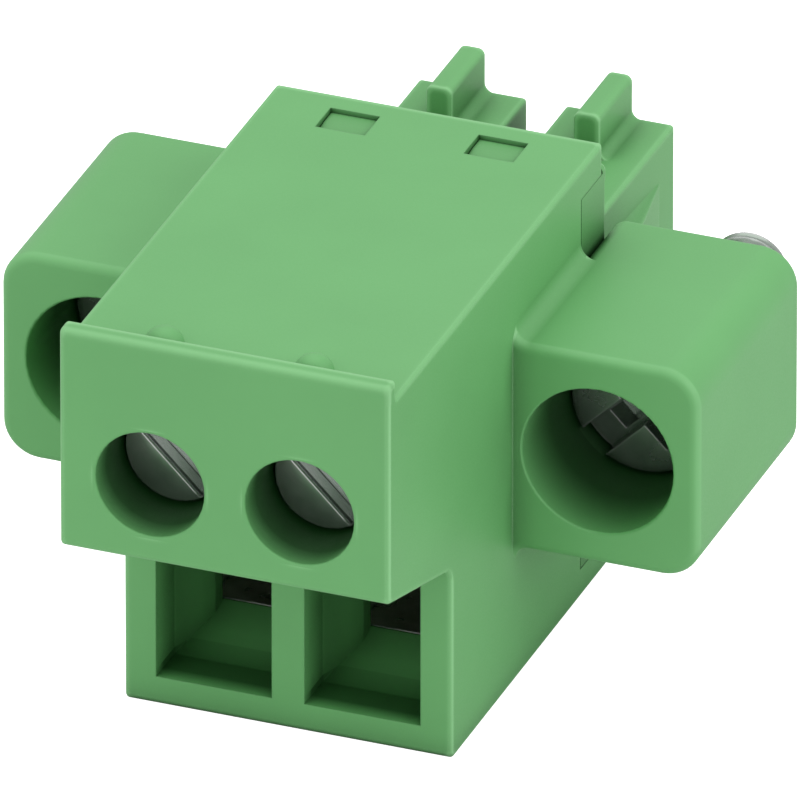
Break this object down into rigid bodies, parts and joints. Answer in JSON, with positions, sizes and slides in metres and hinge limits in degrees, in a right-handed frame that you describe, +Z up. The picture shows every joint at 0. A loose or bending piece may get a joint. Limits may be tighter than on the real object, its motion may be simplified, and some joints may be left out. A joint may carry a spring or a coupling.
{
  "type": "pluggable terminal block",
  "caption": "Pluggable cable-side terminal block with front screw and wire access, side flanges with captive screws and rear contact chambers.",
  "frame": {"origin": "middle of the underside, halfway along the length and the width", "axes": "+Z up, +Y from the wire side towards the mating side, +X to the right seen from the wire side"},
  "size_m": [0.0178, 0.0216, 0.0122],
  "materials": {
    "green_plastic": "satin moulded",
    "screw_steel": "zinc plated",
    "clamp_steel": "zinc plated",
    "tinned_brass": "tin plated"
  },
  "bodies": {
    "plug": {"housing": "green_plastic", "contact_carrier": "green_plastic", "clamp_cage_left": "clamp_steel", "contact_left": "tinned_brass", "clamp_cage_right": "clamp_steel", "contact_right": "tinned_brass"},
    "terminal_screw_left": {"terminal_screw_left": "screw_steel"},
    "wedge_nut_left": {"wedge_nut_left": "clamp_steel"},
    "clamping_jaw_left": {"clamping_jaw_left": "clamp_steel"},
    "flange_screw_left": {"flange_screw_left": "screw_steel"},
    "terminal_screw_right": {"terminal_screw_right": "screw_steel"},
    "wedge_nut_right": {"wedge_nut_right": "clamp_steel"},
    "clamping_jaw_right": {"clamping_jaw_right": "clamp_steel"},
    "flange_screw_right": {"flange_screw_right": "screw_steel"}
  },
  "joints": [
    {"name": "wedge_nut_left_slide", "type": "slide", "parent": "plug", "child": "wedge_nut_left", "axis": [0, -1, 0], "range_m": [0, 0.0025]},
    {"name": "terminal_screw_left_turn", "type": "hinge", "parent": "plug", "child": "terminal_screw_left", "pos_m": [-0.00191, -0.00475, 0.0084], "axis": [0, 1, 0], "range_deg": [0, 2250]},
    {"name": "clamping_jaw_left_slide", "type": "slide", "parent": "plug", "child": "clamping_jaw_left", "axis": [0, 0, -1], "range_m": [0, 0.00175]},
    {"name": "flange_screw_left_turn", "type": "hinge", "parent": "plug", "child": "flange_screw_left", "pos_m": [-0.00637, 0.00325, 0.0065], "axis": [0, 1, 0], "continuous": true},
    {"name": "wedge_nut_right_slide", "type": "slide", "parent": "plug", "child": "wedge_nut_right", "axis": [0, -1, 0], "range_m": [0, 0.0025]},
    {"name": "terminal_screw_right_turn", "type": "hinge", "parent": "plug", "child": "terminal_screw_right", "pos_m": [0.00191, -0.00475, 0.0084], "axis": [0, 1, 0], "range_deg": [0, 2250]},
    {"name": "clamping_jaw_right_slide", "type": "slide", "parent": "plug", "child": "clamping_jaw_right", "axis": [0, 0, -1], "range_m": [0, 0.00175]},
    {"name": "flange_screw_right_turn", "type": "hinge", "parent": "plug", "child": "flange_screw_right", "pos_m": [0.00637, 0.00325, 0.0065], "axis": [0, 1, 0], "continuous": true}
  ],
  "couplings": [
    {"joint": "terminal_screw_left_turn", "follows": "wedge_nut_left_slide", "rad_per_m": 15708},
    {"joint": "clamping_jaw_left_slide", "follows": "wedge_nut_left_slide", "ratio": 0.7002},
    {"joint": "terminal_screw_right_turn", "follows": "wedge_nut_right_slide", "rad_per_m": 15708},
    {"joint": "clamping_jaw_right_slide", "follows": "wedge_nut_right_slide", "ratio": 0.7002}
  ]
}
